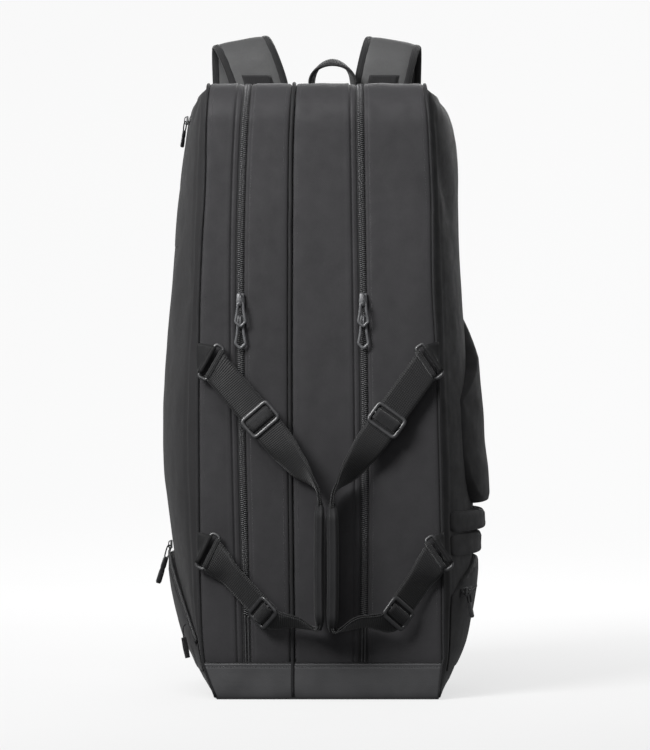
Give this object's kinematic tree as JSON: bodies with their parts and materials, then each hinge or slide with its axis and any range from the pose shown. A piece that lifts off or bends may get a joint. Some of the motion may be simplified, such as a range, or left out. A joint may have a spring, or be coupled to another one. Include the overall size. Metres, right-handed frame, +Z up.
{
  "type": "racket tournament bag",
  "caption": "Tall upright racket tournament bag with two zipped compartments, side pockets, webbing carry handles, shoulder straps and a grab handle",
  "frame": {"origin": "on the floor plane, under the middle of the bag's base, midway between the opening side and the spine", "axes": "+Z up the bag; -Y is the zipped opening side and +Y the spine with the shoulder straps; +X is to the right seen from the opening side"},
  "size_m": [0.4271, 0.456, 0.8585],
  "materials": {
    "shell_fabric": "matte",
    "face_fabric": "matte",
    "spine_fabric": "matte",
    "coated_fabric": "satin",
    "lining": "matte",
    "board": "matte",
    "piping": "satin",
    "zip": "satin",
    "slider_metal": "satin",
    "pull_tab": "satin",
    "hardware": "satin",
    "webbing": "matte",
    "grip": "matte",
    "strap_fabric": "matte"
  },
  "bodies": {
    "core": {"spine_panel": "spine_fabric", "base_panel": "coated_fabric", "base_board": "board", "boot_band": "coated_fabric", "centre_divider": "lining", "left_inner_gusset": "shell_fabric", "right_inner_gusset": "shell_fabric", "centre_piping": "piping", "left_inner_zip": "zip", "right_inner_zip": "zip", "strap_anchors": "webbing"},
    "left_shell": {"left_face_panel": "face_fabric", "left_outer_gusset": "shell_fabric", "left_edge_piping": "piping", "left_outer_zip": "zip", "left_ring_tabs": "webbing", "left_upper_pocket": "face_fabric", "left_lower_pocket": "face_fabric"},
    "right_shell": {"right_face_panel": "face_fabric", "right_outer_gusset": "shell_fabric", "right_edge_piping": "piping", "right_outer_zip": "zip", "right_ring_tabs": "webbing", "right_main_pocket": "face_fabric", "right_rib_pads": "face_fabric", "right_lower_pocket": "face_fabric"},
    "left_handle": {"left_rings": "hardware", "left_upper_webbing": "webbing", "left_lower_webbing": "webbing", "left_grip": "grip"},
    "left_upper_adjuster": {"left_upper_adjuster": "hardware"},
    "left_upper_slider": {"left_upper_slider": "slider_metal"},
    "left_upper_pull": {"left_upper_pull": "slider_metal"},
    "left_lower_adjuster": {"left_lower_adjuster": "hardware"},
    "left_lower_slider": {"left_lower_slider": "slider_metal"},
    "left_lower_pull": {"left_lower_pull": "slider_metal"},
    "left_strap": {"left_shoulder_strap": "strap_fabric", "left_ladder_lock": "hardware", "left_strap_webbing": "webbing"},
    "right_handle": {"right_rings": "hardware", "right_upper_webbing": "webbing", "right_lower_webbing": "webbing", "right_grip": "grip"},
    "right_upper_adjuster": {"right_upper_adjuster": "hardware"},
    "right_upper_slider": {"right_upper_slider": "slider_metal"},
    "right_upper_pull": {"right_upper_pull": "slider_metal"},
    "right_lower_adjuster": {"right_lower_adjuster": "hardware"},
    "right_lower_slider": {"right_lower_slider": "slider_metal"},
    "right_lower_pull": {"right_lower_pull": "slider_metal"},
    "right_strap": {"right_shoulder_strap": "strap_fabric", "right_ladder_lock": "hardware", "right_strap_webbing": "webbing"},
    "left_top_slider": {"left_top_slider": "slider_metal"},
    "left_top_pull": {"left_top_pull": "pull_tab"},
    "left_low_slider": {"left_low_slider": "slider_metal"},
    "left_low_pull": {"left_low_pull": "pull_tab"},
    "right_low_slider": {"right_low_slider": "slider_metal"},
    "right_low_pull": {"right_low_pull": "pull_tab"},
    "grab_handle": {"grab_handle": "webbing"}
  },
  "joints": [
    {"name": "left_shell_opening", "type": "hinge", "parent": "core", "child": "left_shell", "pos_m": [-0.149, 0.165, 0.384], "axis": [0, 0, -1], "range_deg": [0, 20]},
    {"name": "right_shell_opening", "type": "hinge", "parent": "core", "child": "right_shell", "pos_m": [0.139, 0.165, 0.384], "axis": [0, 0, 1], "range_deg": [0, 20]},
    {"name": "left_handle_swing", "type": "hinge", "parent": "left_shell", "child": "left_handle", "pos_m": [-0.167, -0.173, 0.25], "axis": [0, 0, -1], "range_deg": [0, 150]},
    {"name": "left_upper_adjuster_slide", "type": "slide", "parent": "left_handle", "child": "left_upper_adjuster", "axis": [0.6499, -0.0746, -0.7564], "range_m": [-0.04, 0]},
    {"name": "left_lower_adjuster_slide", "type": "slide", "parent": "left_handle", "child": "left_lower_adjuster", "axis": [0.6802, -0.1419, -0.7191], "range_m": [-0.04, 0]},
    {"name": "right_handle_swing", "type": "hinge", "parent": "right_shell", "child": "right_handle", "pos_m": [0.162, -0.173, 0.25], "axis": [0, 0, 1], "range_deg": [0, 150]},
    {"name": "right_upper_adjuster_slide", "type": "slide", "parent": "right_handle", "child": "right_upper_adjuster", "axis": [-0.5858, -0.0774, -0.8068], "range_m": [-0.04, 0]},
    {"name": "right_lower_adjuster_slide", "type": "slide", "parent": "right_handle", "child": "right_lower_adjuster", "axis": [-0.5763, -0.1603, -0.8014], "range_m": [-0.04, 0]},
    {"name": "left_upper_slider_slide", "type": "slide", "parent": "core", "child": "left_upper_slider", "axis": [0.0244, 0, 0.9997], "range_m": [0, 0.2]},
    {"name": "left_upper_pull_swing", "type": "hinge", "parent": "left_upper_slider", "child": "left_upper_pull", "pos_m": [-0.10479, -0.1755, 0.4919], "axis": [-1, 0, 0], "range_deg": [0, 100]},
    {"name": "left_lower_slider_slide", "type": "slide", "parent": "core", "child": "left_lower_slider", "axis": [0.0206, 0, -0.9998], "range_m": [0, 0.405]},
    {"name": "left_lower_pull_swing", "type": "hinge", "parent": "left_lower_slider", "child": "left_lower_pull", "pos_m": [-0.10484, -0.1713, 0.4649], "axis": [-1, 0, 0], "range_deg": [0, 40]},
    {"name": "right_upper_slider_slide", "type": "slide", "parent": "core", "child": "right_upper_slider", "axis": [-0.0145, 0, 0.9999], "range_m": [0, 0.2]},
    {"name": "right_upper_pull_swing", "type": "hinge", "parent": "right_upper_slider", "child": "right_upper_pull", "pos_m": [0.04724, -0.1755, 0.4919], "axis": [-1, 0, 0], "range_deg": [0, 100]},
    {"name": "right_lower_slider_slide", "type": "slide", "parent": "core", "child": "right_lower_slider", "axis": [0.0002, 0, -1], "range_m": [0, 0.405]},
    {"name": "right_lower_pull_swing", "type": "hinge", "parent": "right_lower_slider", "child": "right_lower_pull", "pos_m": [0.0476, -0.1713, 0.4649], "axis": [-1, 0, 0], "range_deg": [0, 40]},
    {"name": "left_top_slider_slide", "type": "slide", "parent": "left_shell", "child": "left_top_slider", "axis": [-0.0946, 0.9955, 0], "range_m": [0, 0.045]},
    {"name": "left_top_pull_swing", "type": "hinge", "parent": "left_top_slider", "child": "left_top_pull", "pos_m": [-0.17629, -0.075, 0.7232], "axis": [0, 1, 0], "range_deg": [0, 60]},
    {"name": "left_low_slider_slide", "type": "slide", "parent": "left_shell", "child": "left_low_slider", "axis": [0, -0.957, -0.29], "range_m": [0, 0.04]},
    {"name": "left_low_pull_swing", "type": "hinge", "parent": "left_low_slider", "child": "left_low_pull", "pos_m": [-0.19942, -0.006, 0.1842], "axis": [0, 1, 0], "range_deg": [0, 60]},
    {"name": "right_low_slider_slide", "type": "slide", "parent": "right_shell", "child": "right_low_slider", "axis": [0.3048, 0.9524, 0], "range_m": [0, 0.04]},
    {"name": "right_low_pull_swing", "type": "hinge", "parent": "right_low_slider", "child": "right_low_pull", "pos_m": [0.1795, -0.118, 0.1292], "axis": [0, -1, 0], "range_deg": [0, 60]},
    {"name": "grab_handle_fold", "type": "hinge", "parent": "core", "child": "grab_handle", "pos_m": [0.01, 0.148, 0.774], "axis": [1, 0, 0], "range_deg": [-10, 60]},
    {"name": "left_strap_swing", "type": "hinge", "parent": "core", "child": "left_strap", "pos_m": [-0.084, 0.171, 0.766], "axis": [1, 0, 0], "range_deg": [0, 25]},
    {"name": "right_strap_swing", "type": "hinge", "parent": "core", "child": "right_strap", "pos_m": [0.074, 0.171, 0.766], "axis": [1, 0, 0], "range_deg": [0, 11]}
  ]
}
